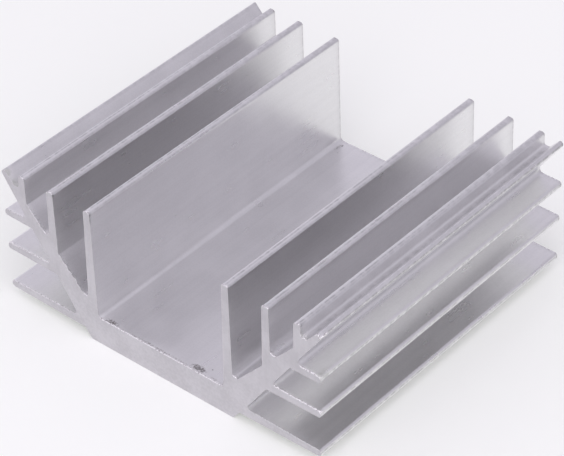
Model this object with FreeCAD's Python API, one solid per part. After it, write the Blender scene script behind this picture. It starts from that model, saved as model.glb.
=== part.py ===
"""Extruded aluminium heat sink, cut from a length of one section.

The section lies in the XZ plane and runs along Y. Z points up from the underside,
X runs across the fins, and the origin is the middle of the underside. The section is
the same on both sides of X = 0, so the outline is worked out for +X and mirrored.
"""
import FreeCAD, Part
import math
import os

# Sizes in millimetres, angles in degrees

# Whole piece
LENGTH = 75.0            # saw cut to saw cut, along Y
HEIGHT = 32.0            # underside to the tops of the fins
DRAFT = 0.85             # each face of a fin or rib leans by this much towards its tip

# Device channel between the two inner fins
CHANNEL_WIDTH = 33.1     # between the inner fins, at their tops
FLOOR_THICKNESS = 6.5    # underside to the channel floor

# Foot under the channel
FOOT_EDGE = 1.0          # from the inner fin's centre line out to the edge of the foot
FOOT_SLOPE = 53.0        # slope of the foot's side, up to the lowest rib

# Upright fins
FIN_TIP = 1.65           # thickness at the top
FIN_PITCH = 9.7          # inner fin to outer fin, centre to centre

# Fork at the end of the arm: an upright post and a slanting prong
POST_PITCH = 7.55        # outer fin to post, centre to centre
POST_TIP = 1.6           # thickness of the post at its top
FORK_REACH = 5.375       # post centre line out to the edge of the section
PRONG_NOSE = 1.0         # the prong's outer edge lies this far below the fin tops
PRONG_ROOT = 1.95        # prong across X at the bottom of the fork
PRONG_TIP = 1.35         # prong across X at the top
FORK_DEPTH = 2.8         # fin tops down to the bottom of the fork

# Slanting arm that carries the outer fin, the fork and the ribs
ARM_SPRING = 4.175       # inner fin's centre line out to where the arm's underside starts
ARM_RISE = 2.5           # the arm's top face starts this far above the channel floor
ARM_END_DEPTH = 3.65     # upright depth of the arm under the post

# Level ribs on the outside of the arm, by the height of their mid-plane
LOW_RIB_Z = 3.2
MIDDLE_RIB_Z = 12.87
UPPER_RIB_Z = 21.3
RIB_TIP = 1.5            # thickness at the outer edge

# Radii
TIP_RADIUS = 0.6         # edges of the fins, ribs and post
PRONG_RADIUS = 0.55      # edges of the prong
FLOOR_RADIUS = 1.0       # channel floor to inner fin
POCKET_RADIUS = 0.9      # acute bottom of each pocket between two fins
CROOK_RADIUS = 0.5       # where the arm's top face meets the next fin
RIB_RADIUS = 0.65        # rib to arm
ARMPIT_RADIUS = 0.9      # upper rib to prong
FORK_RADIUS = 0.5        # bottom of the fork
FOOT_RADIUS = 0.3        # edges of the foot

INNER_FIN_X = (CHANNEL_WIDTH + FIN_TIP) / 2
OUTER_FIN_X = INNER_FIN_X + FIN_PITCH
POST_X = OUTER_FIN_X + POST_PITCH
HALF_WIDTH = POST_X + FORK_REACH
LEAN = math.tan(math.radians(DRAFT))


def line(a, b):
    """A straight face of the section, through two (x, z) points."""
    return a, (b[0] - a[0], b[1] - a[1])


def level(z):
    """A level face at height z."""
    return (0.0, z), (1.0, 0.0)


def meet(first, second):
    """The (x, z) point where two faces cross."""
    (ax, az), (ux, uz) = first
    (bx, bz), (vx, vz) = second
    along = ((bx - ax) * vz - (bz - az) * vx) / (ux * vz - uz * vx)
    return ax + along * ux, az + along * uz


def at(face, x):
    """Height of a slanting face at x."""
    return meet(face, ((x, 0.0), (0.0, 1.0)))[1]


def blade(x, tip):
    """Inner face, outer face and the two top corners of an upright fin or post."""
    inner_top = (x - tip / 2, HEIGHT)
    outer_top = (x + tip / 2, HEIGHT)
    inner = (inner_top, (-LEAN, -1.0))
    outer = (outer_top, (LEAN, -1.0))
    return inner, outer, inner_top, outer_top


def rib(z):
    """Lower face, upper face and the two edge corners of a level rib."""
    lower_edge = (HALF_WIDTH, z - RIB_TIP / 2)
    upper_edge = (HALF_WIDTH, z + RIB_TIP / 2)
    lower = (lower_edge, (-1.0, -LEAN))
    upper = (upper_edge, (-1.0, LEAN))
    return lower, upper, lower_edge, upper_edge


def half_section():
    """Corners (x, z, radius) of the +X half, from under the middle round to the channel floor."""
    fin_in = blade(INNER_FIN_X, FIN_TIP)
    fin_out = blade(OUTER_FIN_X, FIN_TIP)
    post = blade(POST_X, POST_TIP)
    low = rib(LOW_RIB_Z)
    middle = rib(MIDDLE_RIB_Z)
    upper = rib(UPPER_RIB_Z)

    # The arm's underside runs straight from the low rib to the prong's outer edge
    spring = meet(low[1], ((INNER_FIN_X + ARM_SPRING, 0.0), (0.0, 1.0)))
    prong_edge = (HALF_WIDTH, HEIGHT - PRONG_NOSE)
    underside = line(spring, prong_edge)

    # Its top face runs straight from the inner fin to the post
    arm_root = meet(fin_in[1], level(FLOOR_THICKNESS + ARM_RISE))
    arm_end = (POST_X, at(underside, POST_X) + ARM_END_DEPTH)
    top_face = line(arm_root, arm_end)

    # The prong thins from the bottom of the fork to its tip
    fork_z = HEIGHT - FORK_DEPTH
    fork_corner = (meet(underside, level(fork_z))[0] - PRONG_ROOT, fork_z)
    prong_top = (meet(underside, level(HEIGHT))[0] - PRONG_TIP, HEIGHT)

    foot_edge = (INNER_FIN_X + FOOT_EDGE, 0.0)
    slope = math.radians(FOOT_SLOPE)
    foot_side = (foot_edge, (math.cos(slope), math.sin(slope)))

    return [
        (*foot_edge, FOOT_RADIUS),
        (*meet(foot_side, low[0]), FOOT_RADIUS),
        (*low[2], TIP_RADIUS),
        (*low[3], TIP_RADIUS),
        (*spring, RIB_RADIUS),
        (*meet(underside, middle[0]), RIB_RADIUS),
        (*middle[2], TIP_RADIUS),
        (*middle[3], TIP_RADIUS),
        (*meet(underside, middle[1]), RIB_RADIUS),
        (*meet(underside, upper[0]), RIB_RADIUS),
        (*upper[2], TIP_RADIUS),
        (*upper[3], TIP_RADIUS),
        (*meet(underside, upper[1]), ARMPIT_RADIUS),
        (*prong_edge, PRONG_RADIUS),
        (*prong_top, PRONG_RADIUS),
        (*fork_corner, FORK_RADIUS),
        (*meet(post[1], level(fork_z)), FORK_RADIUS),
        (*post[3], TIP_RADIUS),
        (*post[2], TIP_RADIUS),
        (*meet(post[0], top_face), CROOK_RADIUS),
        (*meet(fin_out[1], top_face), POCKET_RADIUS),
        (*fin_out[3], TIP_RADIUS),
        (*fin_out[2], TIP_RADIUS),
        (*meet(fin_out[0], top_face), CROOK_RADIUS),
        (*arm_root, POCKET_RADIUS),
        (*fin_in[3], TIP_RADIUS),
        (*fin_in[2], TIP_RADIUS),
        (*meet(fin_in[0], level(FLOOR_THICKNESS)), FLOOR_RADIUS),
    ]


def rounded_wire(corners):
    """Closed wire at one end of the piece, with a tangent arc at each corner.

    A radius is kept small enough that its arc uses under half of each wall beside it.
    """
    points = [FreeCAD.Vector(x, -LENGTH / 2, z) for x, z, _ in corners]
    count = len(points)
    arcs = []
    for i, (_, _, radius) in enumerate(corners):
        here = points[i]
        back = points[i - 1] - here
        ahead = points[(i + 1) % count] - here
        half_angle = back.getAngle(ahead) / 2
        reach = min(radius / math.tan(half_angle), 0.49 * back.Length, 0.49 * ahead.Length)
        bisector = (FreeCAD.Vector(back).normalize() + FreeCAD.Vector(ahead).normalize()).normalize()
        start = here + FreeCAD.Vector(back).normalize() * reach
        end = here + FreeCAD.Vector(ahead).normalize() * reach
        to_arc = reach * (1 / math.cos(half_angle) - math.tan(half_angle))
        arcs.append((start, here + bisector * to_arc, end))
    edges = []
    for i, (start, middle, end) in enumerate(arcs):
        edges.append(Part.LineSegment(arcs[i - 1][2], start).toShape())
        edges.append(Part.Arc(start, middle, end).toShape())
    return Part.Wire(edges)


def heat_sink():
    """The whole section, drawn at one end and extruded along Y."""
    right = half_section()
    left = [(-x, z, radius) for x, z, radius in reversed(right)]
    section = Part.Face(rounded_wire(right + left))
    return section.extrude(FreeCAD.Vector(0, LENGTH, 0))


os.makedirs("parts", exist_ok=True)
piece = heat_sink()
piece.exportStep("parts/heat_sink.step")
box = piece.BoundBox
print("heat_sink: valid", piece.isValid(), "solids", len(piece.Solids), "faces", len(piece.Faces))
print("size %.3f x %.3f x %.3f mm" % (box.XLength, box.YLength, box.ZLength))
print("volume %.1f mm3" % piece.Volume)
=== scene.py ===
# %% [markdown]
# # A heat sink sawn from an aluminium extrusion
#
# The object is one piece of metal. Aluminium is pressed through a die that has the shape of
# the section, the long bar is stretched straight, and a saw cuts it into pieces 75 mm long.
# So every surface is one of two kinds: a drawn wall that runs straight from end to end, or a
# sawn end. This lesson makes the same two things in numpy: a section, and the section carried
# along a straight path.
#
# The first cell loads the imported CAD model. It is the frame for everything that follows: a
# new surface has to lie where the CAD node lies.

# %% The frame
import math

import bpy
import numpy as np
from mathutils import Matrix, Vector


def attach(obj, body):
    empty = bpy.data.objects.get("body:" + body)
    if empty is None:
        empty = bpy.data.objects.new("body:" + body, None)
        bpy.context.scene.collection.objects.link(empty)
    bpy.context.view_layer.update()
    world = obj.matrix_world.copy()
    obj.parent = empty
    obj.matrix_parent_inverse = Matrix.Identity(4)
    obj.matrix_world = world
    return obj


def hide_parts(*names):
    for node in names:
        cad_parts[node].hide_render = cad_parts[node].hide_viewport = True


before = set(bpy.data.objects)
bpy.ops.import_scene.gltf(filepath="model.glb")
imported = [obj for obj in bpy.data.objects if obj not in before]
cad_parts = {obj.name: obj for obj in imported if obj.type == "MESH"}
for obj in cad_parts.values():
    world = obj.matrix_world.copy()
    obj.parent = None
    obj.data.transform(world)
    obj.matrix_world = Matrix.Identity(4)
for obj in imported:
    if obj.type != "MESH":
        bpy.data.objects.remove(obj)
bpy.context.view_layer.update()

MM = 0.001
scene = bpy.context.scene

# %% [markdown]
# ## The camera
#
# The photograph looks down at the object from the front right, through a long lens, so
# parallel edges stay almost parallel. A camera can be placed by hand until it looks right, or
# from angles. Angles are used here, because each can change without upsetting the others:
# azimuth turns the camera round the object, elevation lifts it, and a small roll tips the
# picture. The three axes of the camera are built one after the other with cross products.

# %% The camera
AZIMUTH = math.radians(40.877)
ELEVATION = math.radians(38.231)
ROLL = math.radians(-1.290)
LENS = 170.34
SENSOR_WIDTH = 36.0
CAMERA_PLACE = Vector((0.27208, -0.31524, 0.34180))

backwards = Vector((
    math.sin(AZIMUTH) * math.cos(ELEVATION),
    -math.cos(AZIMUTH) * math.cos(ELEVATION),
    math.sin(ELEVATION),
))
level_right = Vector((math.cos(AZIMUTH), math.sin(AZIMUTH), 0.0))
level_up = backwards.cross(level_right)
right = level_right * math.cos(ROLL) + level_up * math.sin(ROLL)
up = backwards.cross(right)

camera_data = bpy.data.cameras.new("camera")
camera_data.lens = LENS
camera_data.sensor_width = SENSOR_WIDTH
camera = bpy.data.objects.new("camera", camera_data)
scene.collection.objects.link(camera)
turn = Matrix((right, up, backwards)).transposed().to_4x4()
camera.matrix_world = Matrix.Translation(CAMERA_PLACE) @ turn
scene.camera = camera
print("camera", [round(v, 3) for v in camera.location], "lens", LENS)

# %% [markdown]
# ## The white tent
#
# Bare aluminium has almost no colour of its own: it shows what stands round it. In the
# photograph that is a white tent, so each wall is bright once, and darker again for each
# further wall that the light has met on its way. Many lamps could stand for the tent, but one
# soft world colour from all sides does the same. It is kept at a level where colours come out
# about as they are written, a little brighter near the foot of the tent and on the left.

# %% The white tent
TENT_COLOUR = (1.0, 0.955, 1.08)
TENT_FOOT = 0.70
TENT_TOP = 0.585
TENT_RISE = (0.25, 0.60)
TENT_SIDE = 0.22

scene.view_settings.view_transform = "Standard"


def white_tent():
    """World light by direction: colour * (foot to top, over the heights of TENT_RISE)
    * (1 - side * x)."""
    tent = bpy.data.worlds.new("white_tent")
    tent.use_nodes = True
    nodes, links = tent.node_tree.nodes, tent.node_tree.links
    light = nodes["Background"]
    light.inputs["Color"].default_value = (*TENT_COLOUR, 1.0)
    direction = nodes.new("ShaderNodeTexCoord")
    parts = nodes.new("ShaderNodeSeparateXYZ")
    height = nodes.new("ShaderNodeMapRange")
    height.interpolation_type = "SMOOTHSTEP"
    limits = ("From Min", "From Max", "To Min", "To Max")
    for limit, value in zip(limits, (*TENT_RISE, TENT_FOOT, TENT_TOP)):
        height.inputs[limit].default_value = value
    side = nodes.new("ShaderNodeMath")
    side.operation = "MULTIPLY_ADD"
    side.inputs[1].default_value = -TENT_SIDE
    side.inputs[2].default_value = 1.0
    both = nodes.new("ShaderNodeMath")
    both.operation = "MULTIPLY"
    links.new(direction.outputs["Generated"], parts.inputs["Vector"])
    links.new(parts.outputs["Z"], height.inputs["Value"])
    links.new(parts.outputs["X"], side.inputs[0])
    links.new(height.outputs["Result"], both.inputs[0])
    links.new(side.outputs["Value"], both.inputs[1])
    links.new(both.outputs["Value"], light.inputs["Strength"])
    return tent


scene.world = white_tent()
print("tent from", TENT_FOOT, "to", TENT_TOP)

# %% [markdown]
# ## The table
#
# The table is a large pale disc. A plain floor under stronger lamps would look white too, but
# the metal would glare. So part of its brightness is its own glow and part is light that
# falls on it, and it still takes a soft shadow. It is white as far as the camera sees and
# pale grey farther off: a painted falloff of light, as from a pool of lamp light round the
# object, which the edges of the ribs mirror from there. Its back lets the view through, so the
# object can be looked at from below as well.

# %% The finish of the table
TABLE_COLOUR = (0.84, 0.864, 0.812)
# Painted falloff of light: the table turns pale grey away from the object, as if lamp light fell
# off there.
TABLE_PAINTED_FALLOFF_COLOUR = (0.60, 0.617, 0.58)
TABLE_MIDDLE = Vector((-0.02, 0.02, 0.0))
TABLE_WHITE_REACH = 0.095
TABLE_FAR_REACH = 0.155
TABLE_GLOW = (0.13, 0.13, 0.13)


def new_material(name):
    """An empty node material: returns the material and its node tree."""
    material = bpy.data.materials.new(name)
    material.use_nodes = True
    material.node_tree.nodes.clear()
    return material, material.node_tree


def table_material():
    """White round the object and pale grey farther off as a painted falloff of light, a little of
    it glow, and clear when seen from behind."""
    material, tree = new_material("white_table")
    nodes, links = tree.nodes, tree.links
    place = nodes.new("ShaderNodeTexCoord")
    away = nodes.new("ShaderNodeVectorMath")
    away.operation = "DISTANCE"
    away.inputs[1].default_value = TABLE_MIDDLE
    # Painted falloff of light, from white near the object to pale grey farther off.
    painted_falloff = nodes.new("ShaderNodeMapRange")
    painted_falloff.interpolation_type = "SMOOTHSTEP"
    painted_falloff.inputs["From Min"].default_value = TABLE_WHITE_REACH
    painted_falloff.inputs["From Max"].default_value = TABLE_FAR_REACH
    colour = nodes.new("ShaderNodeMix")
    colour.data_type = "RGBA"
    colour.inputs["A"].default_value = (*TABLE_COLOUR, 1.0)
    colour.inputs["B"].default_value = (*TABLE_PAINTED_FALLOFF_COLOUR, 1.0)
    matt = nodes.new("ShaderNodeBsdfPrincipled")
    matt.inputs["Roughness"].default_value = 1.0
    matt.inputs["Specular IOR Level"].default_value = 0.0
    matt.inputs["Emission Color"].default_value = (*TABLE_GLOW, 1.0)
    matt.inputs["Emission Strength"].default_value = 1.0
    clear = nodes.new("ShaderNodeBsdfTransparent")
    side = nodes.new("ShaderNodeNewGeometry")
    either = nodes.new("ShaderNodeMixShader")
    out = nodes.new("ShaderNodeOutputMaterial")
    links.new(place.outputs["Object"], away.inputs[0])
    links.new(away.outputs["Value"], painted_falloff.inputs["Value"])
    links.new(painted_falloff.outputs["Result"], colour.inputs["Factor"])
    links.new(colour.outputs["Result"], matt.inputs["Base Color"])
    links.new(side.outputs["Backfacing"], either.inputs["Fac"])
    links.new(matt.outputs["BSDF"], either.inputs[1])
    links.new(clear.outputs["BSDF"], either.inputs[2])
    links.new(either.outputs["Shader"], out.inputs["Surface"])
    return material


print("table white to", TABLE_WHITE_REACH, "m, grey from", TABLE_FAR_REACH, "m")

# %% The table
TABLE_RADIUS = 6.0
TABLE_DROP = 0.02 * MM
TABLE_CORNERS = 96


def new_piece(name, points, faces, materials):
    """A mesh object at the origin, with its place in its vertices. Points are in millimetres."""
    mesh = bpy.data.meshes.new(name)
    mesh.from_pydata((np.asarray(points) * MM).tolist(), [], faces)
    mesh.validate()
    for material in materials:
        mesh.materials.append(material)
    piece = bpy.data.objects.new(name, mesh)
    scene.collection.objects.link(piece)
    return piece


around = np.linspace(0.0, 2.0 * math.pi, TABLE_CORNERS, endpoint=False)
disc = np.stack([np.cos(around), np.sin(around), 0.0 * around], axis=1) * TABLE_RADIUS / MM
disc[:, 2] = -TABLE_DROP / MM
table = new_piece("white_table", disc, [list(range(TABLE_CORNERS))], [table_material()])
print("table radius", TABLE_RADIUS, "m")

# %% [markdown]
# ## The soft lamp
#
# One lamp from the front right gives the walls on that side their sheen and draws a soft
# shadow under the left side. A small lamp would leave hard bright spots on metal, so this one
# is a disc wider than its distance. Its strength stays low enough that nothing turns plain
# white, also when the object is seen from behind.

# %% The soft lamp
LAMP_TOWARDS = Vector((0.42, -0.50, 0.76)).normalized()
LAMP_DISTANCE = 1.5
LAMP_WIDTH = 2.4
LAMP_POWER = 17.5
LAMP_COLOUR = (1.0, 0.95, 1.035)

lamp_data = bpy.data.lights.new("soft_lamp", "AREA")
lamp_data.shape = "DISK"
lamp_data.size = LAMP_WIDTH
lamp_data.energy = LAMP_POWER
lamp_data.color = LAMP_COLOUR
lamp = bpy.data.objects.new("soft_lamp", lamp_data)
lamp.matrix_world = (
    Matrix.Translation(LAMP_TOWARDS * LAMP_DISTANCE)
    @ LAMP_TOWARDS.to_track_quat("Z", "Y").to_matrix().to_4x4()
)
scene.collection.objects.link(lamp)
print("lamp at", [round(v, 2) for v in lamp.location])

# %% [markdown]
# ## Light that bounces often
#
# In the deep pockets the light meets shiny walls six or more times before it reaches the
# camera. Cycles stops after four shiny bounces unless it is told otherwise, and the pockets
# would come out too dark. A stronger lamp can't mend that, because the light is cut off in
# the pockets alone, but a higher limit does.

# %% More bounces
SHINY_BOUNCES = 12
scene.cycles.max_bounces = max(scene.cycles.max_bounces, SHINY_BOUNCES)
scene.cycles.glossy_bounces = SHINY_BOUNCES
print("shiny bounces", scene.cycles.glossy_bounces)

# %% [markdown]
# ## The section
#
# The section is drawn as a maker draws it: the corners of the half on the right, each with
# its radius, and then the mirror image. Every fin and rib thins towards its tip by a small
# draft, so its corners are where leaning lines cross. A polygon could also be typed in point
# by point, but then no size could be changed without moving many others.

# %% Sizes of the section, in millimetres
LENGTH = 75.0
HEIGHT = 32.0
LEAN = math.tan(math.radians(0.85))
CHANNEL_WIDTH = 33.1
FLOOR_THICKNESS = 6.5
FOOT_EDGE = 1.0
FOOT_SLOPE = math.radians(53.0)
FIN_TIP = 1.65
FIN_PITCH = 9.7
POST_PITCH = 7.55
POST_TIP = 1.6
FORK_REACH = 5.375
PRONG_NOSE = 1.0
PRONG_ROOT = 1.95
PRONG_TIP = 1.35
FORK_DEPTH = 2.8
ARM_SPRING = 4.175
ARM_RISE = 2.5
ARM_END_DEPTH = 3.65
RIB_HEIGHTS = (3.2, 12.87, 21.3)
RIB_TIP = 1.5

INNER_FIN_X = (CHANNEL_WIDTH + FIN_TIP) / 2
OUTER_FIN_X = INNER_FIN_X + FIN_PITCH
POST_X = OUTER_FIN_X + POST_PITCH
HALF_WIDTH = POST_X + FORK_REACH
print("half width", HALF_WIDTH, "mm")


# %% Where two walls meet
def meet(first, second):
    """The point where two lines cross; a line is a point and a direction, and the crossing
    solves p + a*u = q + b*v for a."""
    (p, u), (q, v) = first, second
    gap = np.subtract(q, p)
    along = (gap[0] * v[1] - gap[1] * v[0]) / (u[0] * v[1] - u[1] * v[0])
    return np.add(p, along * np.asarray(u, float))


def through(a, b):
    """The line through two points."""
    return a, np.subtract(b, a)


def level(z):
    """A level line at height z."""
    return (0.0, z), (1.0, 0.0)


def upright(x):
    """An upright line at x."""
    return (x, 0.0), (0.0, 1.0)


print("x = 3 and z = 4 cross at", meet(upright(3.0), level(4.0)))


# %% Fins and ribs
def fin(x, tip):
    """Inner and outer face of an upright fin; each starts at the top and leans outwards."""
    return ((x - tip / 2, HEIGHT), (-LEAN, -1.0)), ((x + tip / 2, HEIGHT), (LEAN, -1.0))


def rib(z):
    """Lower and upper face of a level rib; each starts at the edge and runs inwards."""
    lower = (HALF_WIDTH, z - RIB_TIP / 2), (-1.0, -LEAN)
    upper = (HALF_WIDTH, z + RIB_TIP / 2), (-1.0, LEAN)
    return lower, upper


fin_in, fin_out = fin(INNER_FIN_X, FIN_TIP), fin(OUTER_FIN_X, FIN_TIP)
post = fin(POST_X, POST_TIP)
low, middle, upper = (rib(z) for z in RIB_HEIGHTS)
print("fins at", INNER_FIN_X, OUTER_FIN_X, POST_X, "ribs at", RIB_HEIGHTS)

# %% The arm and the fork
spring = meet(low[1], upright(INNER_FIN_X + ARM_SPRING))
prong_edge = np.array((HALF_WIDTH, HEIGHT - PRONG_NOSE))
underside = through(spring, prong_edge)
arm_root = meet(fin_in[1], level(FLOOR_THICKNESS + ARM_RISE))
arm_end = meet(underside, upright(POST_X)) + (0.0, ARM_END_DEPTH)
arm_top = through(arm_root, arm_end)
fork_floor = level(HEIGHT - FORK_DEPTH)
fork_corner = meet(underside, fork_floor) - (PRONG_ROOT, 0.0)
prong_top = meet(underside, level(HEIGHT)) - (PRONG_TIP, 0.0)
foot_edge = np.array((INNER_FIN_X + FOOT_EDGE, 0.0))
foot_side = foot_edge, (math.cos(FOOT_SLOPE), math.sin(FOOT_SLOPE))
print("arm from", arm_root.round(2), "to", arm_end.round(2))

# %% Corners of the right half, each with its radius
FOOT_ROUND = 0.3
TIP_ROUND = 0.6
NOSE_ROUND = 0.55
NARROW_FILLET = 0.5
RIB_FILLET = 0.65
WIDE_FILLET = 0.9
FLOOR_FILLET = 1.0

half = [
    (foot_edge, FOOT_ROUND), (meet(foot_side, low[0]), FOOT_ROUND),
    (low[0][0], TIP_ROUND), (low[1][0], TIP_ROUND), (spring, RIB_FILLET),
    (meet(underside, middle[0]), RIB_FILLET),
    (middle[0][0], TIP_ROUND), (middle[1][0], TIP_ROUND),
    (meet(underside, middle[1]), RIB_FILLET), (meet(underside, upper[0]), RIB_FILLET),
    (upper[0][0], TIP_ROUND), (upper[1][0], TIP_ROUND),
    (meet(underside, upper[1]), WIDE_FILLET),
    (prong_edge, NOSE_ROUND), (prong_top, NOSE_ROUND), (fork_corner, NARROW_FILLET),
    (meet(post[1], fork_floor), NARROW_FILLET),
    (post[1][0], TIP_ROUND), (post[0][0], TIP_ROUND),
    (meet(post[0], arm_top), NARROW_FILLET), (meet(fin_out[1], arm_top), WIDE_FILLET),
    (fin_out[1][0], TIP_ROUND), (fin_out[0][0], TIP_ROUND),
    (meet(fin_out[0], arm_top), NARROW_FILLET), (arm_root, WIDE_FILLET),
    (fin_in[1][0], TIP_ROUND), (fin_in[0][0], TIP_ROUND),
    (meet(fin_in[0], level(FLOOR_THICKNESS)), FLOOR_FILLET),
]
right_corners = np.array([corner for corner, _ in half])
right_radii = np.array([radius for _, radius in half])
corners = np.concatenate([right_corners, right_corners[::-1] * (-1.0, 1.0)])
radii = np.concatenate([right_radii, right_radii[::-1]])
print("corners", len(corners))

# %% [markdown]
# ## Rounding every corner at once
#
# A drawn section has no sharp corners. Each corner gets an arc that touches both walls. All
# the arcs are worked out together as one array: for a wall direction coming in and one going
# out, the arc starts and ends at the same reach from the corner, and its middle lies on the
# line that halves the angle. A Bevel modifier could round the corners as well, but it gives
# them all one width, and here each has its own radius.

# %% Arcs at the corners
ARC_STEPS = 8
LONGEST_REACH = 0.49


def unit(v):
    """Each vector divided by its length."""
    return v / np.linalg.norm(v, axis=-1, keepdims=True)


def rounded_outline(points, radius):
    """Closed outline with a tangent arc at each corner.

    For an inner half angle h, the arc of radius r touches the walls r / tan(h) from the
    corner, and its centre is r / sin(h) from the corner on the halving line. The arc's points
    are centre - r * cos(a) * halving + r * sin(a) * across, for a from -(90 - h) to 90 - h
    degrees. The arc takes up to LONGEST_REACH of the shorter wall.
    """
    back = np.roll(points, 1, axis=0) - points
    ahead = np.roll(points, -1, axis=0) - points
    shortest = np.minimum(np.linalg.norm(back, axis=1), np.linalg.norm(ahead, axis=1))
    to_back, to_ahead = unit(back), unit(ahead)
    half_angle = np.arccos(np.clip((to_back * to_ahead).sum(axis=1), -1.0, 1.0)) / 2
    reach = np.minimum(radius / np.tan(half_angle), LONGEST_REACH * shortest)
    r = reach * np.tan(half_angle)
    halving = unit(to_back + to_ahead)
    across = unit(to_ahead - to_back)
    centre = points + halving * (r / np.sin(half_angle))[:, None]
    sweep = np.linspace(-1.0, 1.0, ARC_STEPS + 1) * (math.pi / 2 - half_angle)[:, None]
    arcs = (
        centre[:, None]
        - (r[:, None] * np.cos(sweep))[..., None] * halving[:, None]
        + (r[:, None] * np.sin(sweep))[..., None] * across[:, None]
    )
    return arcs.reshape(-1, 2)


rounded = rounded_outline(corners, radii)
print("outline with arcs", len(rounded), "points")

# %% [markdown]
# ## Where the saw left a lip
#
# The saw drags a little metal along where it leaves the piece, so some edges of the end carry
# a fine ragged lip. It shows along the front of the channel floor, on the arms in the left
# pockets, and on the tips of the fins and ribs. Each row of the table below is a box of x and
# z, and says how the lip stands on the upward walls inside that box. The outline gets short
# steps there, so that it can be uneven, and longer steps elsewhere.

# %% Stretches with a lip
FRONT_LIPS = np.array([
    # x from, x to, z from, z to, height, depth behind the cut, how torn
    (-15.6, 15.6, 6.0, 6.9, 0.14, 0.09, 0.8),
    (-27.0, -18.6, 9.0, 19.0, 0.50, 0.03, 0.35),
    (-34.0, -28.0, 19.0, 27.0, 0.50, 0.03, 0.35),
    (35.3, 40.0, 21.0, 22.8, 0.22, 0.15, 1.0),
    (28.9, 40.0, 13.0, 14.6, 0.16, 0.14, 0.9),
    (24.0, 40.0, 3.5, 5.0, 0.08, 0.08, 0.4),
    (-40.0, -29.0, 13.0, 14.6, 0.15, 0.10, 0.6),
    (-40.0, -35.3, 21.0, 22.8, 0.12, 0.10, 0.5),
    (-40.0, -24.0, 3.5, 5.0, 0.12, 0.10, 0.5),
    (-36.0, -16.0, 31.7, 32.1, 0.10, 0.12, 0.6),
    (16.0, 36.0, 31.7, 32.1, 0.10, 0.12, 0.5),
    (38.9, 40.0, 31.0, 32.1, 0.15, 0.08, 0.7),
])
LIP_HEIGHT, LIP_DEPTH, LIP_TORN = 4, 5, 6  # columns of FRONT_LIPS
UPWARD = 0.25


def lip_at(points, facing, what):
    """Height, depth or tornness of the lip at each point: the largest of the rows of FRONT_LIPS
    whose box holds it, on walls that face upwards."""
    x, z = points[:, :1], points[:, 1:]
    boxes = FRONT_LIPS.T
    inside = (x > boxes[0]) & (x < boxes[1]) & (z > boxes[2]) & (z < boxes[3])
    return np.where(facing > UPWARD, (inside * boxes[what]).max(axis=1), 0.0)


print("stretches with a lip", len(FRONT_LIPS))

# %% A finer outline
FINE_STEP = 0.13
WALL_STEP = 0.55
AT_THE_TIP = 0.01


def outward_of(loop):
    """Outward direction at each point: the chord between its neighbours, turned clockwise."""
    chord = unit(np.roll(loop, -1, axis=0) - np.roll(loop, 1, axis=0))
    return np.stack([chord[:, 1], -chord[:, 0]], axis=1)


def finer(loop):
    """The same closed outline with more points: each straight run is cut into equal parts,
    short ones where it carries a lip, by reading the outline at more distances along it."""
    closed = np.vstack([loop, loop[:1]])
    chord = np.diff(closed, axis=0)
    run = np.linalg.norm(chord, axis=1)
    middle_x, middle_z = (closed[:-1] + chord / 2).T
    tip = (middle_z > HEIGHT - AT_THE_TIP) | (np.abs(middle_x) > HALF_WIDTH - AT_THE_TIP)
    lip = lip_at(closed[:-1] + chord / 2, -chord[:, 0] / run, LIP_HEIGHT) > 0.0
    step = np.where(tip | lip, FINE_STEP, WALL_STEP)
    at = np.concatenate([[0.0], np.cumsum(run)])
    parts = np.maximum(1, np.ceil(run / step)).astype(int)
    number = np.arange(parts.sum()) - np.repeat(np.cumsum(parts) - parts, parts)
    places = np.repeat(at[:-1], parts) + np.repeat(run / parts, parts) * number
    x = np.interp(places, at, closed[:, 0])
    z = np.interp(places, at, closed[:, 1])
    return np.stack([x, z], axis=1), places, at[-1]


outline, distance, girth = finer(rounded)
outward = outward_of(outline)
area = 0.5 * np.sum(
    outline[:, 0] * np.roll(outline[:, 1], -1) - np.roll(outline[:, 0], -1) * outline[:, 1]
)
print("outline points", len(outline), "round", round(girth, 1), "mm, area", round(area, 1), "mm2")

# %% [markdown]
# ## Beads of dragged metal
#
# Seen close, the lip is a row of small beads of unlike size. They are made as bell shapes
# strewn along the outline: the place, width and height of each comes from one seeded row of
# random numbers, so the piece is the same each time. Noise in the material could only colour
# the lip, but beads in the mesh also catch the light and break the edge.

# %% Beads along the cut
BEAD_SPACING = 0.60
BEAD_WIDTHS = (0.12, 0.30)
BEAD_LEAST = 0.12
BEAD_MOST = 1.3
BEAD_RARITY = 1.5
BEAD_SEED = 75

chance = np.random.default_rng(BEAD_SEED)
bead_count = int(girth / BEAD_SPACING)
bead_shift = chance.uniform(-0.5, 0.5, bead_count)
bead_at = (np.arange(bead_count) + bead_shift) * BEAD_SPACING
bead_width = chance.uniform(*BEAD_WIDTHS, bead_count)
bead_height = chance.uniform(0.0, 1.0, bead_count) ** BEAD_RARITY * BEAD_MOST


def beads(s):
    """Unevenness along the outline: the sum of height * exp(-((s - place) / width)^2)."""
    away = (s[:, None] - bead_at) / bead_width
    return BEAD_LEAST + (bead_height * np.exp(-(away**2))).sum(axis=1)


print("beads", bead_count)

# %% [markdown]
# ## Larger beads, rubbed places and dark spots
#
# Some larger beads stand at the bottoms of the pockets, in the forks and on the tips of the
# ribs, and a few lie a little behind the cut. The left fork, the right fork and the end of
# one rib are rubbed dull, and a few tips have a dark spot. All of these are bell shapes on
# the wall, so one helper serves them: it needs a mark's x and z and finds the place on the
# outline by itself.

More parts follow.
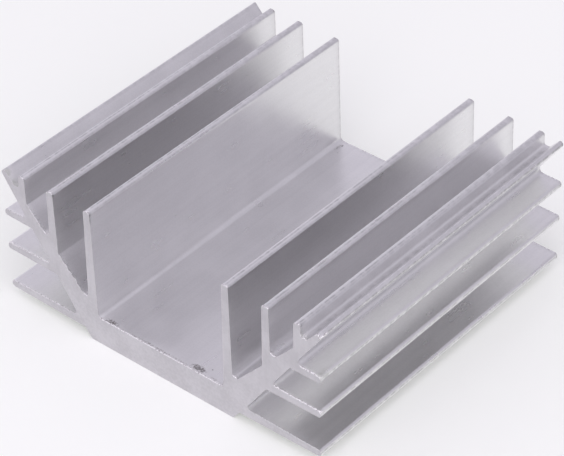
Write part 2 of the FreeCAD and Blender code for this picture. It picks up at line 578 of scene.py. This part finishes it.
# %% Larger beads
LARGE_BEADS = np.array([
    # x, z, depth behind the cut, width along the outline, width along y, height
    (19.1, 10.1, 0.12, 0.35, 0.25, 0.28),
    (28.4, 20.7, 0.10, 0.70, 0.20, 0.22),
    (29.1, 21.0, 0.15, 0.30, 0.25, 0.15),
    (-18.9, 10.0, 0.15, 0.35, 0.25, 0.20),
    (-28.4, 20.4, 0.15, 0.30, 0.20, 0.10),
    (34.8, 32.0, 0.15, 0.30, 0.30, 0.12),
    (35.3, 31.6, 0.40, 0.20, 0.40, 0.06),
    (35.5, 29.7, 0.15, 0.30, 0.25, 0.16),
    (36.2, 29.2, 0.10, 0.28, 0.25, 0.45),
    (36.1, 29.2, 0.95, 0.25, 0.30, 0.22),
    (36.9, 29.3, 0.20, 0.30, 0.30, 0.12),
    (39.4, 31.7, 0.12, 0.25, 0.28, 0.30),
    (39.9, 31.2, 0.90, 0.26, 0.50, 0.22),
    (39.9, 31.2, 1.80, 0.24, 0.45, 0.20),
    (39.9, 31.1, 3.60, 0.18, 0.25, 0.10),
    (-31.0, 22.7, 0.08, 0.20, 0.15, 0.16),
    (-29.3, 21.3, 0.08, 0.22, 0.15, 0.18),
    (-24.2, 15.6, 0.08, 0.20, 0.15, 0.16),
    (-22.6, 14.2, 0.08, 0.18, 0.15, 0.14),
    (-19.7, 10.4, 0.08, 0.25, 0.18, 0.20),
    (39.8, 21.9, 0.45, 0.25, 0.30, 0.18),
    (39.8, 21.9, 1.30, 0.20, 0.35, 0.10),
    (39.7, 22.0, 2.40, 0.22, 0.35, 0.14),
    (39.9, 13.3, 0.40, 0.25, 0.30, 0.10),
    (26.6, 32.0, 0.15, 0.20, 0.20, 0.08),
    (27.8, 31.9, 0.15, 0.20, 0.20, 0.10),
    (17.7, 32.0, 0.15, 0.20, 0.20, 0.06),
    (-17.2, 32.0, 0.35, 0.30, 0.35, 0.12),
    (-17.6, 32.0, 1.30, 0.20, 0.40, 0.08),
    (-26.9, 32.0, 0.40, 0.25, 0.30, 0.10),
])


def nearest(x, z):
    """Distance along the outline of its point nearest to each (x, z)."""
    away = np.hypot(outline[:, 0, None] - x, outline[:, 1, None] - z)
    return distance[away.argmin(axis=0)]


def bells(x, z, place, along, across, depth):
    """Bell shapes exp(-((s - mark) / along)^2) * exp(-((depth - place) / across)^2), for each
    depth, outline point and mark."""
    on_outline = np.exp(-(((distance[:, None] - nearest(x, z)) / along) ** 2))
    on_length = np.exp(-(((depth[:, None] - place) / across) ** 2))
    return on_length[:, None, :] * on_outline


def large_beads(depth):
    """The sum of the large beads at each depth and point of the outline."""
    x, z, place, along, across, height = LARGE_BEADS.T
    return (bells(x, z, place, along, across, depth) * height).sum(axis=2)


print("large beads", len(LARGE_BEADS))

# %% Places rubbed dull and dark spots behind the cut
RUBBED = np.array([
    # x, z, width along the outline, depth behind the cut, strength
    (-36.6, 29.4, 1.9, 1.5, 1.0),
    (-38.6, 31.2, 1.2, 1.2, 1.0),
    (39.6, 21.9, 0.8, 3.0, 1.0),
    (35.8, 29.2, 1.6, 1.0, 1.0),
])
DARK_SPOTS = np.array([
    # the same columns
    (-39.8, 31.4, 0.45, 0.40, 1.2),
    (-26.25, 31.7, 0.55, 0.40, 1.0),
    (-16.55, 31.7, 0.55, 0.45, 1.0),
    (-16.5, 30.2, 0.90, 0.25, 0.9),
    (35.3, 31.75, 0.28, 0.90, 0.9),
    (35.45, 30.3, 0.50, 0.35, 0.8),
    (38.9, 31.5, 0.30, 0.60, 0.7),
])


def marked(marks, depth):
    """How strong the marks are at each depth and outline point: the largest of their bell
    shapes times their strength."""
    x, z, along, across, strength = marks.T
    return (bells(x, z, 0.0, along, across, depth) * strength).max(axis=2)


print("rubbed places", len(RUBBED), "and dark spots", len(DARK_SPOTS))

# %% [markdown]
# ## Lines along the body
#
# The flat tops of the fins and the flat edges of the ribs are a little duller than the round
# corners beside them, because the die touches them hardest. In front the dull part is a
# narrow line, and towards the rear it spreads over the whole top. Some lines are painted
# shade instead: a darker line on the nose of each prong dulls the sheen of the lamp there,
# and one darkens the bottom of each fork. A painted mask could show this, but numbers kept
# with the points follow the section when one of its sizes changes.

# %% Dull lines along the tips, and painted shade
TIP_CORNER, CORNER_DROP = 0.64, 0.17
WORN_TIPS = [
    # x, then how far the line lies from the middle of the tip
    (-POST_X, -0.1), (-OUTER_FIN_X, 0.0), (-INNER_FIN_X, -0.15),
    (INNER_FIN_X, 0.05), (OUTER_FIN_X, 0.15), (POST_X, 0.20),
]
TIP_CORNERS = [
    (x + side * TIP_CORNER, HEIGHT - CORNER_DROP) for x, _ in WORN_TIPS for side in (-1, 1)
]
SIDE_LINES_AND_SHADE = [
    # x and z on the right, width, strength in front, strength at the rear
    *((HALF_WIDTH, z + 0.15, 0.20, 0.9, 0.9) for z in RIB_HEIGHTS),
    (HALF_WIDTH, RIB_HEIGHTS[2] - 0.30, 0.35, 0.75, 0.75),
    # Painted shade: this line on the nose of the prong dulls the sheen of the lamp there.
    (HALF_WIDTH - 0.12, HEIGHT - 0.92, 0.30, 1.1, 1.1),
    (HALF_WIDTH - 0.75, HEIGHT - 0.30, 0.28, 0.45, 0.45),
    # Painted shade: this line darkens the bottom of the fork.
    (36.45, HEIGHT - FORK_DEPTH, 0.45, 0.5, 0.5),
]
TIP_LINES_AND_SHADE = np.array([
    # x, z, width, strength in front, strength at the rear
    *((x + aside, HEIGHT, 0.20, 0.85, 0.45) for x, aside in WORN_TIPS),
    *((x, HEIGHT, 0.80, 0.0, 0.50) for x, _ in WORN_TIPS),
    *((x, z, 0.20, 0.45, 0.35) for x, z in TIP_CORNERS),
    *((side * x, *rest) for side in (-1, 1) for x, *rest in SIDE_LINES_AND_SHADE),
])
LINE_CHANGE = (-8.0, 30.0)


def tip_lines(y):
    """Dull lines and lines of painted shade along the body, at each y and outline point: the
    largest of strength * exp(-((s - place) / width)^2). The strength goes from the one in front
    to the one at the rear between the two y of LINE_CHANGE."""
    x, z, width, in_front, at_rear = TIP_LINES_AND_SHADE.T
    line = np.exp(-(((distance[:, None] - nearest(x, z)) / width) ** 2))
    share = np.interp(y, LINE_CHANGE, (0.0, 1.0))[:, None]
    strength = in_front + (at_rear - in_front) * share
    return (strength[:, None, :] * line).max(axis=2)


print("lines along the body", len(TIP_LINES_AND_SHADE))

# %% [markdown]
# ## Carrying the section along
#
# The body is a grid: one row of points for each distance from the cut, one column for each
# point of the outline. Near the cuts the rows are close together, because the rounded edge
# and the lip live there, and in the middle they are far apart. The two ends are closed with
# one many-sided face each, flat as a saw leaves it. A modifier could carry a flat outline
# along too, but it would not bend the wall into a lip.

# %% Rows behind the two cuts
EDGE_ROUND = 0.02
EDGE_ROWS = 3
FRONT_ROWS = np.array([
    0.06, 0.11, 0.17, 0.25, 0.35, 0.5, 0.7, 0.95, 1.25, 1.55, 1.9, 2.3, 2.8, 3.4, 4.0,
])
REAR_ROWS = np.array([0.12, 0.25, 0.5, 1.2])
MIDDLE_ROWS = np.array([-18.0, 0.0, 18.0])

edge_rows = EDGE_ROUND * (1.0 - np.cos(np.linspace(0.0, math.pi / 2, EDGE_ROWS)))
front_depth = np.concatenate([edge_rows, FRONT_ROWS])
rear_depth = np.concatenate([edge_rows, REAR_ROWS])


def from_cut_to_cut(front_end, front, rear, rear_end):
    """One array of rows over the whole length: the front cut, the rows behind it, zeros in
    the middle, the rows before the rear cut, which are counted from that cut, and the cut."""
    row = (1, len(outline))
    return np.concatenate([
        np.broadcast_to(front_end, row), front, np.zeros((len(MIDDLE_ROWS), len(outline))),
        rear[::-1], np.broadcast_to(rear_end, row),
    ])


print("rows behind the front cut", len(front_depth), "and the rear cut", len(rear_depth))

# %% How far the wall moves near the cuts
LIP_WIDTH = 0.15
RIM = 0.17
REAR_LIP = 0.3
REAR_LIP_DEPTH = 0.06


def wall_move(depth, height, place):
    """How far the outline moves outwards at each depth behind a cut.

    A rounded edge of radius e draws back by e - sqrt(e^2 - (e - depth)^2), and the lip adds
    height * exp(-((depth - place) / LIP_WIDTH)^2).
    """
    missing = np.maximum(0.0, EDGE_ROUND - depth)
    inset = EDGE_ROUND - np.sqrt(EDGE_ROUND**2 - missing**2)
    bell = np.exp(-(((depth[:, None] - place) / LIP_WIDTH) ** 2))
    return bell * height - inset[:, None]


lip, lip_depth, lip_torn = (
    lip_at(outline, outward[:, 1], what) for what in (LIP_HEIGHT, LIP_DEPTH, LIP_TORN)
)
front_beads = large_beads(front_depth)
front_move = wall_move(front_depth, lip * beads(distance), lip_depth) + front_beads

# The rear cut carries the mirror image of the front lip, lower, with other beads
mirrored_lip = lip_at(outline * (-1.0, 1.0), outward[:, 1], LIP_HEIGHT)
rear_beads = beads(girth - distance)
rear_move = wall_move(rear_depth, REAR_LIP * mirrored_lip * rear_beads, REAR_LIP_DEPTH)

# The first and the last row lie in the plane of the cut, RIM inside the edge
move = from_cut_to_cut(front_move[0] - RIM, front_move, rear_move, -(EDGE_ROUND + RIM))
print("largest move", round(float(move.max()), 2), "mm")

# %% [markdown]
# ## What happened to the wall
#
# A finish has to know where the wall was torn by the saw, rubbed dull, or darkened by
# painted shade along the rims of the cuts. Each of these could be a mask in the material,
# with its own nodes for every place. Here each is an array with the rows and columns of the
# grid, from 0 to 1, because the lip and the beads are already arrays of that kind and the wear
# and the painted shade have to lie exactly on them.

# %% How torn the wall is
TORN_REACH = 0.16
TORN_REACH_PER_LIP = 1.3
TORN_BEAD = 0.15
REAR_TORN_REACH = 0.25
REAR_TORN_LIP = 0.2
REAR_TORN_MOST = 0.6

# In front exp(-(depth / reach)^2), with more reach behind a high lip, and on each large bead
reach = TORN_REACH + TORN_REACH_PER_LIP * lip
torn_front = np.exp(-((front_depth[:, None] / reach) ** 2)) * lip_torn
torn_front = np.clip(torn_front + front_beads / TORN_BEAD, 0.0, 1.0)

# At the rear the same with one reach, by the height of the lip
torn_rear = np.exp(-((rear_depth[:, None] / REAR_TORN_REACH) ** 2))
torn_rear = torn_rear * np.minimum(mirrored_lip / REAR_TORN_LIP, REAR_TORN_MOST)
torn = from_cut_to_cut(0.0, torn_front, torn_rear, 0.0)
print("torn points", int((torn > 0.5).sum()))

# %% How dull the wall is, and painted shade along the cuts
RIM_LEAST = 0.40
FRONT_RIM_REACH = 0.15
FRONT_RIM_SHADE = 0.35
REAR_RIM_REACH = 0.34
REAR_RIM_SHADE = 0.45
REAR_TIP_ZONE = 1.2

# Dark spots lie over rubbed places
spots = np.minimum(marked(DARK_SPOTS, front_depth), 1.0)
rub = marked(RUBBED, front_depth) * (1.0 - spots)
dull = from_cut_to_cut(rub[0], rub, np.zeros_like(rear_move), 0.0)

# Both rims are painted shade along the edges of the cuts: shade * exp(-(depth / reach)^2),
# ragged like the beads; the rear one is strongest on the tips
ragged = np.clip(RIM_LEAST + rear_beads, 0.0, 1.0)
front_rim_shade_and_spots = FRONT_RIM_SHADE * np.exp(-((front_depth[:, None] / FRONT_RIM_REACH) ** 2)) * ragged
front_rim_shade_and_spots = np.maximum(front_rim_shade_and_spots * (1.0 - rub), spots)
from_tip = np.minimum(HALF_WIDTH - np.abs(outline[:, 0]), HEIGHT - outline[:, 1])
rear_shade = np.clip(1.0 - from_tip / REAR_TIP_ZONE, REAR_RIM_SHADE, 1.0)
rear_rim_painted_shade = np.exp(-((rear_depth[:, None] / REAR_RIM_REACH) ** 2)) * ragged * rear_shade
# dark holds the painted shade of both rims and the dark spots.
dark = from_cut_to_cut(0.0, front_rim_shade_and_spots, rear_rim_painted_shade, 0.0)
print("dull points", int((dull > 0.5).sum()), "dark points", int((dark > 0.5).sum()))


# %% The grid of the body
def body_grid():
    """Rows (x, y, z) of the body from the front cut to the rear cut: outline + outward * move,
    kept inside the box of the section."""
    y = np.concatenate([
        [-LENGTH / 2], front_depth - LENGTH / 2, MIDDLE_ROWS,
        LENGTH / 2 - rear_depth[::-1], [LENGTH / 2],
    ])
    xz = outline + outward * move[..., None]
    x = np.clip(xz[..., 0], -HALF_WIDTH, HALF_WIDTH)
    z = np.clip(xz[..., 1], 0.0, HEIGHT)
    return np.stack([x, np.broadcast_to(y[:, None], x.shape), z], axis=2)


def grid_faces(rows, columns):
    """Four-sided faces of a grid whose last column joins the first, facing outwards, and the
    row and column of each corner."""
    r, c = np.meshgrid(np.arange(rows - 1), np.arange(columns), indexing="ij")
    row = np.stack([r, r + 1, r + 1, r], axis=-1).reshape(-1, 4)
    column = np.stack([c, c, c + 1, c + 1], axis=-1).reshape(-1, 4)
    return row * columns + column % columns, row, column


grid = body_grid()
rows, columns = grid.shape[:2]
quads, quad_row, quad_column = grid_faces(rows, columns)
front_end = list(range(columns))
rear_end = list(range((rows - 1) * columns, rows * columns))[::-1]
print("body grid", rows, "by", columns, "=", 2 * len(quads), "triangles and two ends")

# %% [markdown]
# ## Steps of a material
#
# A material is a chain of nodes, and most of its links are of a few kinds: a noise, a range
# turned into another range, a sum, a blend of two colours. A helper for each kind keeps the
# finishes below short, and makes them read like sentences.

# %% Helpers for patterns and numbers
def object_place(tree):
    """The place of each point in the object's own coordinates."""
    return tree.nodes.new("ShaderNodeTexCoord").outputs["Object"]


def stretched(tree, vector, scale, location=(0.0, 0.0, 0.0)):
    """The vector times scale plus location, each axis by itself."""
    node = tree.nodes.new("ShaderNodeMapping")
    node.inputs["Scale"].default_value = scale
    node.inputs["Location"].default_value = location
    tree.links.new(vector, node.inputs["Vector"])
    return node.outputs["Vector"]


def noise(tree, vector, scale, detail):
    """A noise texture that reads the given vector; returns its grey output."""
    texture = tree.nodes.new("ShaderNodeTexNoise")
    texture.inputs["Scale"].default_value = scale
    texture.inputs["Detail"].default_value = detail
    tree.links.new(vector, texture.inputs["Vector"])
    return texture.outputs["Fac"]


def ramp(tree, value, source, target):
    """A value that goes through source comes out going through target, held beyond the ends;
    source and target are a start and an end each."""
    node = tree.nodes.new("ShaderNodeMapRange")
    node.interpolation_type = "SMOOTHSTEP"
    for limit, number in zip(("From Min", "From Max", "To Min", "To Max"), (*source, *target)):
        node.inputs[limit].default_value = number
    tree.links.new(value, node.inputs["Value"])
    return node.outputs["Result"]


def reckon(tree, operation, *values):
    """One arithmetic step on two or three values, each an output or a number."""
    node = tree.nodes.new("ShaderNodeMath")
    node.operation = operation
    for socket, value in zip(node.inputs, values):
        if isinstance(value, (int, float)):
            socket.default_value = value
        else:
            tree.links.new(value, socket)
    return node.outputs["Value"]


WHOLE = (0.0, 1.0)
print("most ramps start or end with the whole range", WHOLE)


# %% Helpers for colours
def blend(tree, share, first, second):
    """Colour between first and second by share; each colour is an output or three numbers."""
    node = tree.nodes.new("ShaderNodeMix")
    node.data_type = "RGBA"
    tree.links.new(share, node.inputs["Factor"])
    for name, colour in (("A", first), ("B", second)):
        if isinstance(colour, tuple):
            node.inputs[name].default_value = (*colour, 1.0)
        else:
            tree.links.new(colour, node.inputs[name])
    return node.outputs["Result"]


def shade(colour, share):
    """The colour times share."""
    return tuple(part * share for part in colour)


def point_value(tree, name):
    """A number that the mesh keeps for each of its points."""
    node = tree.nodes.new("ShaderNodeAttribute")
    node.attribute_name = name
    return node.outputs["Fac"]


METAL = (0.85, 0.848, 0.849)
print("half as bright", shade(METAL, 0.5))

# %% [markdown]
# ## Dirt on the channel floor
#
# Where the bar lay on the saw table, small dark smudges of swarf and coolant stayed on the
# floor of the channel, most of them close behind the front cut. Each one is a soft spot in
# space: a Mapping node moves the spot to the origin and scales it to a ball, so the distance
# from the origin tells how much dirt there is. A fine noise makes the spots patchy. An image
# could be painted for them, but spots given as numbers need no file.

# %% Smudges
SMUDGES = (
    # x, y, reach along x, reach along y, strength
    (-13.1, -36.8, 2.6, 0.90, 1.0),
    (9.0, -36.35, 2.7, 1.20, 1.2),
    (11.3, -35.1, 0.5, 0.4, 0.5),
    (-6.9, -37.1, 0.9, 0.4, 0.6),
    (-3.4, -36.9, 1.0, 0.6, 0.6),
    (0.8, -37.15, 1.6, 0.4, 0.6),
    (4.6, -37.2, 1.6, 0.3, 0.55),
    (13.4, -36.9, 2.2, 0.5, 0.35),
    (0.0, -37.0, 17.0, 0.40, 0.42),
    (-14.6, 35.9, 0.9, 0.9, 0.50),
    (-14.9, 34.8, 0.9, 2.0, 0.38),
    (-13.9, 33.6, 0.7, 1.1, 0.30),
)
SMUDGE_HEIGHT = 1.4
SMUDGE_GRAIN = 2300.0
SMUDGE_GRAIN_RANGE = (0.36, 0.60)
SMUDGE_GRAIN_SHARE = (0.30, 1.3)
SMUDGE_EDGE = (0.08, 0.85)


def smudge_mask(tree, place):
    """Dirt near each spot: 1 at its middle and 0 at its reach, the largest of all, uneven."""
    dirt = None
    for x, y, wide, deep, strength in SMUDGES:
        size = Vector((wide, deep, SMUDGE_HEIGHT)) * MM
        centre = Vector((x, y, FLOOR_THICKNESS)) * MM
        scale = [1.0 / part for part in size]
        local = stretched(tree, place, scale, [-c / part for c, part in zip(centre, size)])
        away = tree.nodes.new("ShaderNodeVectorMath")
        away.operation = "LENGTH"
        tree.links.new(local, away.inputs[0])
        near_it = ramp(tree, away.outputs["Value"], WHOLE, (strength, 0.0))
        dirt = near_it if dirt is None else reckon(tree, "MAXIMUM", dirt, near_it)
    grain = noise(tree, place, SMUDGE_GRAIN, detail=2.0)
    uneven = ramp(tree, grain, SMUDGE_GRAIN_RANGE, SMUDGE_GRAIN_SHARE)
    return ramp(tree, reckon(tree, "MULTIPLY", dirt, uneven), SMUDGE_EDGE, WHOLE)


print("smudges", len(SMUDGES))

# %% [markdown]
# ## Torn metal
#
# Where metal was dragged or torn, it is fresh and rough, and it scatters light like chalk
# instead of mirroring it. Its bright grains are painted glints, with painted shade in the dark
# gaps between them. The mesh keeps for each point how torn it is, and both finishes read that
# number. It blends the tone over and makes the surface less metallic.

# %% Torn metal at the edges of the cut, with painted glints
# Painted glints, and painted shade in the gaps between them, where metal is torn.
TORN_GLINT = (0.98, 0.975, 0.97)
TORN_GAP_SHADE = (0.42, 0.40, 0.41)
TORN_GRAIN = 2700.0
TORN_GAPS = (0.40, 0.47)
TORN_METALLIC = 0.35


def torn_over(tree, place, tone, share):
    """Where share is high, painted glints with painted shade between them replace the tone."""
    specks = ramp(tree, noise(tree, place, TORN_GRAIN, detail=2.0), TORN_GAPS, WHOLE)
    return blend(tree, share, tone, blend(tree, specks, TORN_GAP_SHADE, TORN_GLINT))


def less_metallic(tree, share):
    """1 where the wall is whole, TORN_METALLIC where it is torn."""
    return ramp(tree, share, WHOLE, (1.0, TORN_METALLIC))


print("torn metal is", TORN_METALLIC, "metallic")

# %% [markdown]
# ## Mill finish
#
# Nobody polished this metal. It has the finish of the die: a soft mirror, broken up by fine
# lines along the length, by faint cloudy patches and by a fine grain. The lines follow the
# section, so they read the piece's own map, in which one direction is the distance round the
# section and the other is the distance along the length. The patches and the grain are noise
# in space. Close behind a cut the walls are scuffed and duller. Over all this come the lines
# on the tips, some of them painted shade, the painted shade along the rims of the cut, torn
# metal with painted glints, rubbed places and dirt, in this order, because that is how the
# real marks came onto the piece.

# %% Patterns of the mill finish
LINE_STRETCH = 0.006
FINE_LINES = 3.0
BROAD_LINES = 0.7
CLOUDS = 130.0
GRAIN = 2600.0


def mill_patterns(tree, place):
    """Fine lines, broad lines, clouds and grain, each a noise from 0 to 1."""
    section_map = tree.nodes.new("ShaderNodeUVMap")
    section_map.uv_map = "section"
    drawn = stretched(tree, section_map.outputs["UV"], (1.0, LINE_STRETCH, 1.0))
    return (
        noise(tree, drawn, FINE_LINES, detail=3.0), noise(tree, drawn, BROAD_LINES, detail=2.0),
        noise(tree, place, CLOUDS, detail=4.0), noise(tree, place, GRAIN, detail=2.0),
    )


print("a fine line is about", round(1.0 / FINE_LINES, 2), "mm wide")

# %% Tone of the drawn walls
RUBBED_TONE = (0.65, 0.66, 0.63)
DIRT_TONE = (0.17, 0.155, 0.15)
# Tone of the dull lines on the tips, and of the painted shade on the prong noses and fork
# bottoms.
LINE_AND_SHADE_TONE = shade(METAL, 0.64)
# Painted shade along the rims of the cuts, also used for the dark spots.
PAINTED_RIM_SHADE = shade(METAL, 0.42)
DARKER, LIGHTER = 0.965, 1.03
PATTERN_RANGE = (1.35, 2.15)
FINE_LINE_SHARE = 0.5
BREAKS = 800.0
BREAK_RANGE = (0.35, 0.65)
BREAK_SHARE = (0.45, 1.25)
DIRT_SHARE = 0.74


def mill_tone(tree, place, patterns, dirt):
    """Metal a little lighter and darker by the sum of the patterns, then one layer of wear
    after the other."""
    fine_lines, broad_lines, cloud, grain = patterns
    lines = reckon(tree, "MULTIPLY_ADD", fine_lines, FINE_LINE_SHARE, broad_lines)
    pattern = reckon(tree, "ADD", lines, reckon(tree, "ADD", cloud, grain))
    share = ramp(tree, pattern, PATTERN_RANGE, WHOLE)
    tone = blend(tree, share, shade(METAL, DARKER), shade(METAL, LIGHTER))
    broken = ramp(tree, noise(tree, place, BREAKS, detail=2.0), BREAK_RANGE, BREAK_SHARE)
    # Dull lines on the tips, and painted shade on the prong noses and fork bottoms.
    tip_line = reckon(tree, "MULTIPLY", point_value(tree, "tip_line"), broken)
    tone = blend(tree, tip_line, tone, LINE_AND_SHADE_TONE)
    # Painted shade along the rims of the cuts, and the dark spots on some tips.
    tone = blend(tree, point_value(tree, "dark"), tone, PAINTED_RIM_SHADE)
    tone = torn_over(tree, place, tone, point_value(tree, "torn"))
    rubbed = reckon(tree, "MULTIPLY", point_value(tree, "dull"), broken)
    tone = blend(tree, rubbed, tone, RUBBED_TONE)
    return blend(tree, reckon(tree, "MULTIPLY", dirt, DIRT_SHARE), tone, DIRT_TONE)


print("lines", np.round(LINE_AND_SHADE_TONE, 2), "and rims", np.round(PAINTED_RIM_SHADE, 2))

# %% Gloss of the drawn walls
ROUGH_RANGE = (0.27, 0.37)
ROUGH_FROM = (0.7, 1.3)
SCUFF_FROM, SCUFF_TO = 35.0 * MM, 37.2 * MM
SCUFF_UNEVEN = 3.0 * MM
SCUFF_ROUGH, DIRT_ROUGH, DULL_ROUGH, TORN_ROUGH = 0.10, 0.3, 0.25, -0.30
SMOOTHEST = 0.18


def scuffed_zone(tree, place, cloud):
    """0 in the middle of the length and 1 at the cuts, with an uneven limit between."""
    parts = tree.nodes.new("ShaderNodeSeparateXYZ")
    tree.links.new(place, parts.inputs["Vector"])
    from_middle = reckon(tree, "ABSOLUTE", parts.outputs["Y"])
    uneven = reckon(tree, "MULTIPLY_ADD", cloud, SCUFF_UNEVEN, -SCUFF_UNEVEN / 2)
    return ramp(tree, reckon(tree, "ADD", from_middle, uneven), (SCUFF_FROM, SCUFF_TO), WHOLE)


def mill_roughness(tree, place, patterns, dirt):
    """A soft mirror, rougher where it is scuffed, dirty or dull, and smoother where torn."""
    _, broad_lines, cloud, _ = patterns
    rough = ramp(tree, reckon(tree, "ADD", cloud, broad_lines), ROUGH_FROM, ROUGH_RANGE)
    for wear, more in (
        (scuffed_zone(tree, place, cloud), SCUFF_ROUGH), (dirt, DIRT_ROUGH),
        (point_value(tree, "dull"), DULL_ROUGH), (point_value(tree, "torn"), TORN_ROUGH),
    ):
        rough = reckon(tree, "MULTIPLY_ADD", wear, more, rough)
    return reckon(tree, "MAXIMUM", rough, SMOOTHEST)


print("scuffed from", SCUFF_FROM / MM, "mm to", SCUFF_TO / MM, "mm from the middle")

# %% The finish of the drawn walls
BUMP_DEPTH = 0.05 * MM
BUMP_WHOLE = 0.05
BUMP_TORN = 0.6


def new_metal(tree, tone, torn, height, strength):
    """A metal shader with its tone, its bump and its torn places, joined to the output; the
    strength of the bump is an output or a number."""
    bump = tree.nodes.new("ShaderNodeBump")
    bump.inputs["Distance"].default_value = BUMP_DEPTH
    if isinstance(strength, float):
        bump.inputs["Strength"].default_value = strength
    else:
        tree.links.new(strength, bump.inputs["Strength"])
    metal = tree.nodes.new("ShaderNodeBsdfPrincipled")
    out = tree.nodes.new("ShaderNodeOutputMaterial")
    tree.links.new(height, bump.inputs["Height"])
    tree.links.new(less_metallic(tree, torn), metal.inputs["Metallic"])
    tree.links.new(tone, metal.inputs["Base Color"])
    tree.links.new(bump.outputs["Normal"], metal.inputs["Normal"])
    tree.links.new(metal.outputs["BSDF"], out.inputs["Surface"])
    return metal


def mill_finish():
    """Soft mirror with die lines, clouds, grain, a scuffed zone behind each cut and dirt."""
    material, tree = new_material("mill_finish")
    place = object_place(tree)
    patterns = mill_patterns(tree, place)
    dirt = smudge_mask(tree, place)
    torn = point_value(tree, "torn")
    height = reckon(tree, "ADD", patterns[0], patterns[3])
    strength = reckon(tree, "MULTIPLY_ADD", torn, BUMP_TORN, BUMP_WHOLE)
    metal = new_metal(tree, mill_tone(tree, place, patterns, dirt), torn, height, strength)
    tree.links.new(mill_roughness(tree, place, patterns, dirt), metal.inputs["Roughness"])
    return material


drawn_metal = mill_finish()
print("nodes in the mill finish", len(drawn_metal.node_tree.nodes))

# %% [markdown]
# ## Sawn ends
#
# A saw tears the metal off in chips, so the ends are dull and a little blotchy, and faint
# upright streaks stand in the thin fins. The same metal is used with a much rougher surface.
# A flat face with a bump is enough here, because the marks are only hundredths of a
# millimetre deep.

# %% The finish of the sawn ends
SAWN = (0.632, 0.620, 0.640)
SAWN_DARKER, SAWN_LIGHTER = 0.94, 1.055
SAWN_RANGE = (0.7, 1.3)
SAWN_GRAIN = 1700.0
SAWN_BLOTCHES = 220.0
SAWN_STREAKS = 1300.0
STREAK_STRETCH = 0.06
STREAKS_FROM = (8.0 * MM, 13.0 * MM)
STREAK_SHARE = 0.5
SAWN_ROUGHNESS = 0.6
SAWN_BUMP = 0.25


def sawn_finish():
    """Matt metal with a torn grain, blotches, and streaks in the upper part."""
    material, tree = new_material("sawn_finish")
    place = object_place(tree)
    grain = noise(tree, place, SAWN_GRAIN, detail=4.0)
    upright_place = stretched(tree, place, (1.0, 1.0, STREAK_STRETCH))
    streaks = noise(tree, upright_place, SAWN_STREAKS, detail=2.0)
    parts = tree.nodes.new("ShaderNodeSeparateXYZ")
    tree.links.new(place, parts.inputs["Vector"])
    high = ramp(tree, parts.outputs["Z"], STREAKS_FROM, (0.0, STREAK_SHARE))
    fine = blend(tree, high, grain, streaks)
    pattern = reckon(tree, "ADD", fine, noise(tree, place, SAWN_BLOTCHES, detail=3.0))
    share = ramp(tree, pattern, SAWN_RANGE, WHOLE)
    tone = blend(tree, share, shade(SAWN, SAWN_DARKER), shade(SAWN, SAWN_LIGHTER))
    torn = point_value(tree, "torn")
    metal = new_metal(tree, torn_over(tree, place, tone, torn), torn, grain, SAWN_BUMP)
    metal.inputs["Roughness"].default_value = SAWN_ROUGHNESS
    return material


sawn_metal = sawn_finish()
print("nodes in the sawn finish", len(sawn_metal.node_tree.nodes))

# %% [markdown]
# ## The body takes the place of the CAD node
#
# The mesh gets the two finishes, and a map for the die lines. The map is measured in
# millimetres: the distance round the section, and y. At the seam, where the outline closes,
# the last faces run on to the full girth instead of jumping back to zero. The numbers for
# torn and dull metal, for the painted shade at the rims and for the lines on the tips are
# kept with the points.

# %% The finished body
faces = quads.tolist() + [front_end, rear_end]
body = new_piece("heat_sink_body", grid.reshape(-1, 3), faces, [drawn_metal, sawn_metal])
mesh = body.data
is_sawn = np.ones(len(mesh.polygons), dtype=np.int32)
is_sawn[columns:len(quads) - columns] = 0
mesh.polygons.foreach_set("material_index", is_sawn)
mesh.polygons.foreach_set("use_smooth", is_sawn == 0)

round_section = np.append(distance, girth)
wall_map = np.stack([round_section[quad_column], grid[quad_row, 0, 1]], axis=-1).reshape(-1, 2)
end_map = grid[0, :, ::2]
section_map = mesh.uv_layers.new(name="section")
section_map.data.foreach_set("uv", np.concatenate([wall_map, end_map, end_map[::-1]]).ravel())

tip_line = tip_lines(grid[:, 0, 1])
for name, values in (("torn", torn), ("dull", dull), ("dark", dark), ("tip_line", tip_line)):
    mesh.attributes.new(name, "FLOAT", "POINT").data.foreach_set("value", values.ravel())

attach(body, "root")
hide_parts("heat_sink")
print("faces", len(mesh.polygons), "corners", len(mesh.loops))
